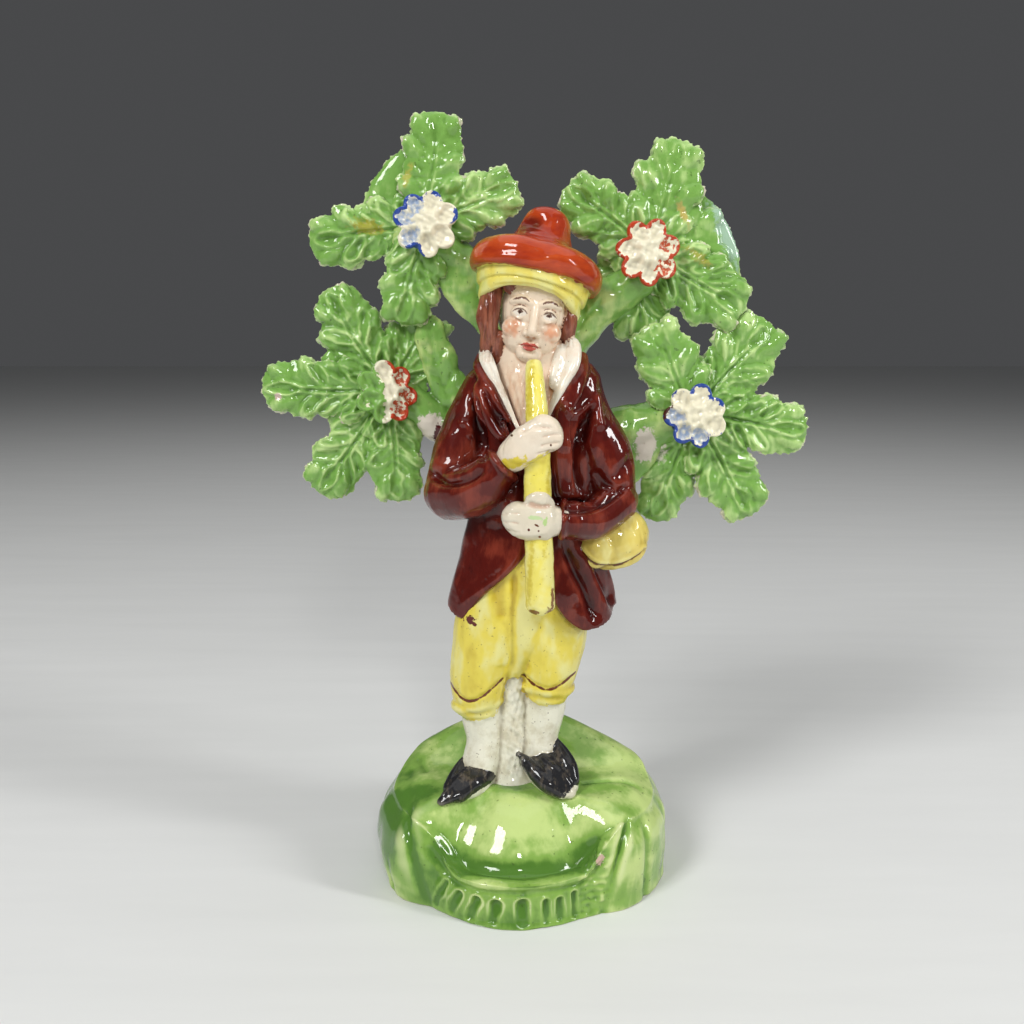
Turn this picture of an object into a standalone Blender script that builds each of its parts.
"""Glazed pottery figure of a young piper on a rocky mound, with a flowering bocage behind him.

The press-moulded parts are joined with slip and fired together, so the whole work is one solid.
Lengths below are in millimetres and are turned into metres when a shape is made.
+Z is up, -Y is the front, and the origin is at the middle of the flat foot.
"""

import math

import bmesh
import bpy
from mathutils import Matrix, Vector

MM = 0.001

# Driving dimensions
BASE_WIDTH = 73.0
BASE_DEPTH = 60.0
PLATEAU = 25.0
LEDGE_HEIGHT = 10.2
TREE_ROOT_RISE = 8.0
BACK_RISE = 5.0
FIGURE_AXIS_X = 2.0
LEAF_PLANE_Y = 9.0
LEAF_THICKNESS = 3.2
FLOWER_RADIUS = 7.8

# Meshing of the fused body
VOXEL = 0.62
TRIANGLES = 9600
BELOW_FOOT = 2.0

SHELLS = []


def clear_scene():
    for obj in list(bpy.data.objects):
        bpy.data.objects.remove(obj)


def smoothstep(low, high, value):
    t = min(1.0, max(0.0, (value - low) / (high - low)))
    return t * t * (3.0 - 2.0 * t)


def keep_shell(bm):
    """Adds one closed shell to those that are fused at the end."""
    bmesh.ops.remove_doubles(bm, verts=bm.verts, dist=0.01)
    bmesh.ops.recalc_face_normals(bm, faces=bm.faces)
    mesh = bpy.data.meshes.new("shell")
    bm.to_mesh(mesh)
    bm.free()
    SHELLS.append(mesh)


def loft(rings):
    """Closed shell through rings of equally many points, with both ends capped."""
    bm = bmesh.new()
    rows = [[bm.verts.new(point) for point in ring] for ring in rings]
    for lower, upper in zip(rows, rows[1:]):
        for i in range(len(lower)):
            j = (i + 1) % len(lower)
            bm.faces.new((lower[i], lower[j], upper[j], upper[i]))
    bm.faces.new(list(reversed(rows[0])))
    bm.faces.new(rows[-1])
    keep_shell(bm)


def spline(values, count):
    """Smooth curve through the values, as count evenly spaced samples."""
    values = [Vector(value) for value in values]
    last = len(values) - 1
    samples = []
    for k in range(count):
        t = last * k / (count - 1)
        i = min(last - 1, int(t))
        f = t - i
        p1, p2 = values[i], values[i + 1]
        p0 = values[max(0, i - 1)]
        p3 = values[min(last, i + 2)]
        bend = 2 * p0 - 5 * p1 + 4 * p2 - p3
        twist = -p0 + 3 * p1 - 3 * p2 + p3
        samples.append(0.5 * (2 * p1 + (p2 - p0) * f + bend * f**2 + twist * f**3))
    return samples


def limb(path, radii, sides=16, samples=14):
    """Round tapering roll of clay along a smooth path, with rounded ends."""
    centres = spline(path, samples)
    sizes = [size.x for size in spline([(radius, 0, 0) for radius in radii], samples)]
    rings = []
    side = Vector((0.0, 1.0, 0.0))
    for i, centre in enumerate(centres):
        ahead = (centres[min(i + 1, samples - 1)] - centres[max(i - 1, 0)]).normalized()
        side = (side - side.dot(ahead) * ahead).normalized()
        across = ahead.cross(side)
        ends = ((0.85, 0.45), (0.5, 0.8)) if i in (0, samples - 1) else ()
        turns = [(sizes[i], 0.0)]
        if i == 0:
            turns = [(sizes[0] * r, -sizes[0] * h) for r, h in reversed(ends)] + turns
        if i == samples - 1:
            turns = turns + [(sizes[-1] * r, sizes[-1] * h) for r, h in ends]
        for radius, along in turns:
            rings.append([
                centre + ahead * along
                + radius * math.cos(2 * math.pi * k / sides) * side
                + radius * math.sin(2 * math.pi * k / sides) * across
                for k in range(sides)
            ])
    loft(rings)


def stack(levels, sides=28, steps=3):
    """Shell through level ellipses, each given as z, centre x, centre y, half width, half depth."""
    rings = []
    samples = spline([level[:3] for level in levels], (len(levels) - 1) * steps + 1)
    widths = spline([(*level[3:5], 0.0) for level in levels], len(samples))
    for (z, x, y), (wide, deep, _) in zip(samples, widths):
        rings.append([
            Vector((
                x + wide * math.cos(2 * math.pi * k / sides),
                y + deep * math.sin(2 * math.pi * k / sides),
                z,
            ))
            for k in range(sides)
        ])
    loft(rings)


def pad(centre, radii, turn=(0.0, 0.0, 0.0), segments=16, rings=10):
    """Ellipsoid pad of clay, turned by degrees about X, Y and Z."""
    bm = bmesh.new()
    bmesh.ops.create_uvsphere(bm, u_segments=segments, v_segments=rings, radius=1.0)
    turned = Matrix.Identity(4)
    for axis, angle in zip("XYZ", turn):
        turned = Matrix.Rotation(math.radians(angle), 4, axis) @ turned
    bm.transform(Matrix.Translation(centre) @ turned @ Matrix.Diagonal((*radii, 1.0)))
    keep_shell(bm)


def base_radius(angle):
    """Distance from the origin to the foot's outline: an ellipse with a bulging apron in front."""
    wide, deep = BASE_WIDTH / 2, BASE_DEPTH / 2
    plain = 1.0 / math.hypot(math.cos(angle) / wide, math.sin(angle) / deep)
    from_front = math.remainder(angle + math.pi / 2, 2 * math.pi)
    apron = 0.9 * (1.0 - smoothstep(0.42, 0.62, abs(from_front)))
    notches = -1.3 * math.exp(-(((from_front + 0.66) / 0.12) ** 2))
    notches -= 1.5 * math.exp(-(((from_front - 0.72) / 0.10) ** 2))
    rocks = 0.5 * math.sin(5.0 * angle + 0.6)
    return plain + apron + notches + rocks


def wall_height(angle):
    """Height of the mound's edge, low at the front tongue, tall at the sides, tallest behind."""
    from_front = math.remainder(angle + math.pi / 2, 2 * math.pi)
    tall = PLATEAU - 4.5 + BACK_RISE * smoothstep(1.3, 2.3, abs(from_front))
    rise = smoothstep(0.45, 1.15, -from_front) + smoothstep(0.3, 0.92, from_front)
    return LEDGE_HEIGHT + (tall - LEDGE_HEIGHT) * rise


def make_mound():
    """Rocky mound with upright walls, a level top and a tongue that slopes down in front."""
    sides = 60
    feet_radius = 12.0
    shape = ((1.0, -1.0), (0.985, 0.35), (1.0, 0.72), (0.965, 0.93), (0.92, 1.0))
    rings = []
    for scale, share in shape:
        ring = []
        for k in range(sides):
            angle = 2 * math.pi * k / sides
            radius = base_radius(angle) * scale
            height = wall_height(angle) * share if share > 0 else -BELOW_FOOT
            ring.append(Vector((radius * math.cos(angle), radius * math.sin(angle), height)))
        rings.append(ring)
    for share in (0.25, 0.5, 0.75, 1.0):
        ring = []
        for k in range(sides):
            angle = 2 * math.pi * k / sides
            outer = base_radius(angle) * shape[-1][0]
            radius = outer + (feet_radius - outer) * share
            low = wall_height(angle)
            rise = share ** (0.75 if low < LEDGE_HEIGHT + 4.0 else 0.5)
            x, y = radius * math.cos(angle), radius * math.sin(angle)
            root = TREE_ROOT_RISE * math.exp(-(((x + 1.0) / 25) ** 2)) * smoothstep(-6, 16, y)
            ring.append(Vector((x, y, low + (PLATEAU - low) * rise + root * share**0.5)))
        rings.append(ring)
    loft(rings)
    flutes = 8
    for i in range(flutes):
        angle = -math.pi / 2 + (i - (flutes - 1) / 2) * 0.125
        reach = base_radius(angle) - 0.9
        foot = Vector((reach * math.cos(angle), reach * math.sin(angle), 0.0))
        limb([foot, foot + Vector((0, 0.1, 4.8)), foot + Vector((0, 0.9, 8.6))], (1.7, 1.5, 1.0), 8, 5)


def make_trunk():
    """Tree trunk that rises from the mound behind the legs and forks to the four leaf sprigs."""
    stack([
        (PLATEAU - 6, -2, 13, 15, 9),
        (PLATEAU + 8, -2, 13, 11, 7),
        (50, -1.5, 12, 9.5, 6),
        (75, 0, 11, 10, 6),
        (105, 2, 11, 11, 6),
        (128, 2, 11, 12, 5),
        (138, 2, 11, 10, 4),
    ])
    back = LEAF_PLANE_Y + 1.5
    limb([(0, back, 130), (-11, back, 145), (-26, back, 153)], (6, 5.2, 6))
    limb([(7, back, 127), (16, back, 138), (29, back, 147)], (6, 5, 5.5))
    limb([(-6, back, 104), (-20, back, 112), (-29, back, 119)], (6, 5, 5))
    pad((-20.5, back - 2, 127), (4.2, 2.0, 12), (0, -18, 0))
    limb([(8, back, 106), (24, back, 111), (37, back, 113)], (6, 5.5, 6))


def make_legs():
    """Breeches, stockings, shoes and the clay web between the calves."""
    stack([(90, 2, 0, 15, 11), (80, 1.5, 0, 15.5, 11), (70, 0.5, 0, 15, 10.5), (62, 0.3, 0, 14, 9)])
    limb([(-5, 0, 76), (-8.5, -1, 62), (-10.8, -2, 47)], (9.5, 9, 7.2))
    limb([(6, 0, 76), (7.8, -1, 62), (6.6, -2, 49)], (9.5, 9, 6.8))
    limb([(-10.8, -2, 48), (-10, -1, 38), (-10, -2, 27)], (6.2, 5.6, 4.4))
    limb([(6.4, -2, 50), (5.8, -1, 40), (6, -2, 27)], (6.0, 5.2, 4.3))
    pad((-2, 0, 40), (6.5, 5, 17))
    pad((-14, -12, 25.2), (8.6, 3.9, 3.6), (0, -6, 42))
    pad((7.4, -10.5, 25.6), (9.2, 4.1, 3.8), (0, 6, -40))


def make_coat():
    """Coat body with its two skirt panels, which are cut away in front."""
    stack([
        (60, 2, 2, 13, 9),
        (74, 2, 1, 15, 11),
        (88, 2, 0, 15.5, 11.5),
        (98, 2, 0, 15.8, 11.5),
        (110, 2.5, 0, 17, 11.5),
        (119, 2.8, 0.5, 16.5, 10),
        (125, 2.6, 1, 12.5, 8),
        (130, 2.2, 1, 7, 6.5),
    ])
    open_left = [(86, -88), (80, -103), (73, -119), (64, -148)]
    open_right = [(86, -80), (78, -75), (70, -71), (63.5, -54)]
    for edges, back_edge in ((open_left, -270), (open_right, 90)):
        rings = []
        for z, start in edges:
            flare = (88 - z) / 24
            wide, deep = 16.5 + 5.5 * flare, 12.5 + 2.5 * flare
            lift = 4.5 * flare
            outer, inner = [], []
            for k in range(13):
                share = k / 12
                angle = math.radians(start + (back_edge - start) * share)
                pleat = 0.7 * flare * math.sin(9 * angle)
                level = z + lift * smoothstep(0.0, 0.35, share)
                for points, depth in ((outer, 0.0), (inner, 4.0)):
                    points.append(Vector((
                        FIGURE_AXIS_X + 0.5 + (wide + pleat - depth) * math.cos(angle),
                        0.5 + (deep + pleat - depth) * math.sin(angle),
                        level,
                    )))
            rings.append(outer + list(reversed(inner)))
        loft(rings)


def make_arms():
    """Sleeves, cuffs and the two hands that hold the pipe."""
    limb([(-8.5, 1, 121), (-14.5, 0, 110), (-17.5, -3, 97)], (6.5, 7.4, 6.6))
    limb([(-17.8, -4, 96), (-11.5, -11, 98.5), (-4.5, -16, 105)], (6.6, 6.2, 5.4))
    limb([(13, 1, 121), (18.5, 0, 109), (22.5, -1, 96)], (6.3, 6.8, 5.9))
    limb([(22.5, -2, 94.5), (16.5, -9.5, 91.5), (8.5, -15, 92.5)], (5.9, 5.2, 4.7))
    pad((1.6, -18.6, 110.2), (7.6, 4.6, 4.9), (0, -34, 0))
    pad((1.8, -18.4, 93.2), (6.6, 4.7, 4.9), (0, 6, 0))


def make_pipe():
    """Pipe from the lips down past both hands."""
    limb([(2.4, -11, 127), (3.2, -16, 117)], (1.5, 2.3), 12, 4)
    limb([(3.2, -16, 117), (3.1, -17.8, 104), (3.9, -17.5, 74.5)], (2.5, 3.1, 3.3), 12, 6)


def make_head():
    """Head, neck, side hair, collar and the soft cap with its band and knob."""
    pad((2.1, -0.5, 137.2), (8.4, 9.6, 10.8))
    pad((2.1, -6.0, 131.2), (5.2, 4.2, 4.4))
    pad((2.1, -10.2, 135.6), (1.4, 1.6, 2.8), (12, 0, 0))
    pad((2.1, -9.6, 131.3), (2.6, 1.2, 0.8))
    for side in (-1, 1):
        pad((2.1 + 3.6 * side, -8.2, 140.6), (2.7, 1.3, 0.9), (0, 6 * side, 14 * side))
        pad((2.1 + 3.5 * side, -7.9, 138.2), (1.7, 1.4, 1.1), (0, 0, 18 * side))
    limb([(2.2, -1, 118), (2.2, 0, 126), (2.1, 0.5, 134)], (8.5, 6.6, 6.4))
    limb([(-6.8, -1, 144), (-7.6, -0.5, 137), (-6.6, 0.5, 129)], (3.2, 3.2, 2.8), 12, 6)
    limb([(11, -1, 143), (11.6, -0.5, 137), (10.4, 0.5, 131)], (3.2, 3.1, 2.6), 12, 6)
    pad((-4.6, -8.2, 121), (2.6, 2.4, 8.5), (14, -28, 0))
    pad((9.6, -6.8, 122.5), (3.4, 2.4, 9.0), (14, 18, 0))
    tilt = Matrix.Translation((1.5, 0.6, 143.0))
    tilt = tilt @ Matrix.Rotation(math.radians(13), 4, "Y") @ Matrix.Rotation(math.radians(-17), 4, "X")
    profile = (
        (11.4, -5.0), (12.8, -1.5), (13.6, 2.2), (14.7, 3.0), (15.2, 5.4), (14.4, 8.0),
        (11.6, 9.8), (7.6, 11.0), (5.9, 13.2), (5.5, 16.8), (4.4, 19.6), (1.8, 20.6),
    )
    sides = 28
    loft([
        [
            tilt @ Vector((
                radius * math.cos(2 * math.pi * k / sides),
                radius * math.sin(2 * math.pi * k / sides),
                height,
            ))
            for k in range(sides)
        ]
        for radius, height in profile
    ])


def make_pouch():
    """Rounded satchel at his left hip, with a sewn seam."""
    pad((21.0, 2.0, 83), (9.0, 7.4, 7.4), (0, -18, 0))
    pad((21.0, 2.0, 84), (9.6, 8.0, 1.0), (0, -24, 0))


def leaf_lobe(centre, angle, length, width, curl):
    """One lobe of a sprig, with scalloped edges, a grooved midrib and side leaflets in relief."""
    along, across = 13, 9
    scallops = 3
    rows = []
    ahead = Vector((math.cos(angle), 0.0, math.sin(angle)))
    aside = Vector((-math.sin(angle), 0.0, math.cos(angle)))
    for side in (-1, 1):
        for i in range(along):
            u = i / (along - 1)
            scallop = abs(math.sin(math.pi * (scallops * u + 0.15)))
            blunt = math.sqrt(max(0.0, 1.0 - smoothstep(0.8, 1.1, u)))
            half = width / 2 * (0.68 + 0.2 * u + 0.2 * scallop) * blunt
            row = []
            for j in range(across):
                v = 2 * j / (across - 1) - 1
                relief = 0.55 * math.cos(2 * math.pi * scallops * (u + 0.22 * abs(v)))
                groove = -0.7 * math.exp(-((v / 0.16) ** 2))
                lift = LEAF_THICKNESS / 2 * math.sqrt(max(0.04, 1 - v * v))
                front = lift + (relief + groove) * (1 - v * v)
                depth = -front if side < 0 else lift
                sag = curl * u * u + 1.6 * v * v * u
                point = Vector(centre) + ahead * length * u + aside * half * v
                row.append(point + Vector((0.0, depth + sag, 0.0)))
            rows.append(row)
    rings = [rows[i] + list(reversed(rows[i + along])) for i in range(along)]
    loft(rings)


def make_flower(x, z, front, turn):
    """Two stacked corollas of rounded petals on a short boss."""
    pad((x, front + 5.5, z), (5.0, 6.0, 5.0))
    for radius, lift, petals, twist in ((1.0, 2.0, 7, 0.0), (0.72, 0.3, 6, 0.4)):
        rings = []
        for share, dish in ((0.45, 3.0), (1.0, 1.6), (1.02, 0.7), (0.85, 0.0), (0.4, 1.0)):
            ring = []
            for k in range(42):
                angle = 2 * math.pi * k / 42
                petal = 0.86 + 0.14 * abs(math.sin(petals * (angle + turn + twist) / 2))
                reach = FLOWER_RADIUS * radius * share * (petal if share > 0.5 else 1.0)
                ring.append(Vector((
                    x + reach * math.cos(angle),
                    front + lift + dish,
                    z + reach * math.sin(angle),
                )))
            rings.append(ring)
        loft(rings)


def make_bocage():
    """Four leaf sprigs, each with its lobes given as direction, length, width and curl."""
    y = LEAF_PLANE_Y
    sprigs = {
        "upper_left": ((-22.6, 159.6), 0.3, (
            (83, 26, 15, 2), (22, 24, 17, 1), (-104, 25, 16, -2), (189, 28, 15, 0), (128, 19, 21, 6),
            (-61, 12, 12, 4),
        )),
        "lower_left": ((-32, 120.6), 0.9, (
            (121, 28, 16, 2), (178, 31, 17, 0), (-132, 31, 17, 1), (-86, 27, 15, -1), (59, 21, 15, 4),
        )),
        "upper_right": ((29.2, 153.3), 0.0, (
            (73, 25, 16, 1), (142, 24, 16, 2), (10, 20, 22, 5), (-27, 29, 16, 0), (-95, 20, 17, 2),
            (-142, 14, 12, 4),
        )),
        "lower_right": ((40.9, 114.9), 0.6, (
            (107, 25, 17, -2), (46, 27, 16, 1), (-8, 29, 15, 0), (-58, 30, 16, 1), (-108, 29, 14, 3),
        )),
    }
    for (x, z), turn, lobes in sprigs.values():
        x_leaf, z_leaf = x * 1.03, z * 1.0
        pad((x_leaf, y, z_leaf), (11, 2.4, 11))
        for direction, length, width, curl in lobes:
            leaf_lobe((x_leaf, y, z_leaf), math.radians(direction), length, width, curl)
        make_flower(x, z, y - 8.5, turn)


def fuse_shells():
    """Joins every shell into the one fired body and trims its foot flat."""
    bm = bmesh.new()
    for mesh in SHELLS:
        bm.from_mesh(mesh)
        bpy.data.meshes.remove(mesh)
    bmesh.ops.scale(bm, vec=(MM, MM, MM), verts=bm.verts)
    body = bpy.data.meshes.new("bocage_figure")
    bm.to_mesh(body)
    bm.free()
    figure = bpy.data.objects.new("bocage_figure", body)
    bpy.context.scene.collection.objects.link(figure)

    fuse = figure.modifiers.new("slip_joints", "REMESH")
    fuse.mode = "VOXEL"
    fuse.voxel_size = VOXEL * MM
    soften = figure.modifiers.new("glaze_softening", "SMOOTH")
    soften.factor = 0.5
    soften.iterations = 2
    thin = figure.modifiers.new("facets", "DECIMATE")
    thin.use_collapse_triangulate = True
    bpy.context.view_layer.update()
    thin.show_viewport = False
    graph = bpy.context.evaluated_depsgraph_get()
    dense = figure.evaluated_get(graph).to_mesh()
    dense.calc_loop_triangles()
    thin.ratio = TRIANGLES / len(dense.loop_triangles)
    thin.show_viewport = True

    size = 2 * BASE_WIDTH * MM
    bpy.ops.mesh.primitive_cube_add(size=size, location=(0, 0, -size / 2))
    cutter = bpy.context.object
    cutter.name = "foot_cutter"
    cutter.hide_render = True
    cutter.display_type = "WIRE"
    cut = figure.modifiers.new("flat_foot", "BOOLEAN")
    cut.operation = "DIFFERENCE"
    cut.solver = "EXACT"
    cut.object = cutter
    return figure


def glaze(figure):
    """Clear glaze over painted pearlware, shown here as the mound's green."""
    material = bpy.data.materials.new("glazed_pearlware")
    material.use_nodes = True
    shader = material.node_tree.nodes["Principled BSDF"]
    shader.inputs["Base Color"].default_value = (0.25, 0.5, 0.12, 1.0)
    shader.inputs["Roughness"].default_value = 0.12
    shader.inputs["Metallic"].default_value = 0.0
    figure.data.materials.append(material)


clear_scene()
make_mound()
make_trunk()
make_legs()
make_coat()
make_arms()
make_pipe()
make_head()
make_pouch()
make_bocage()
glaze(fuse_shells())
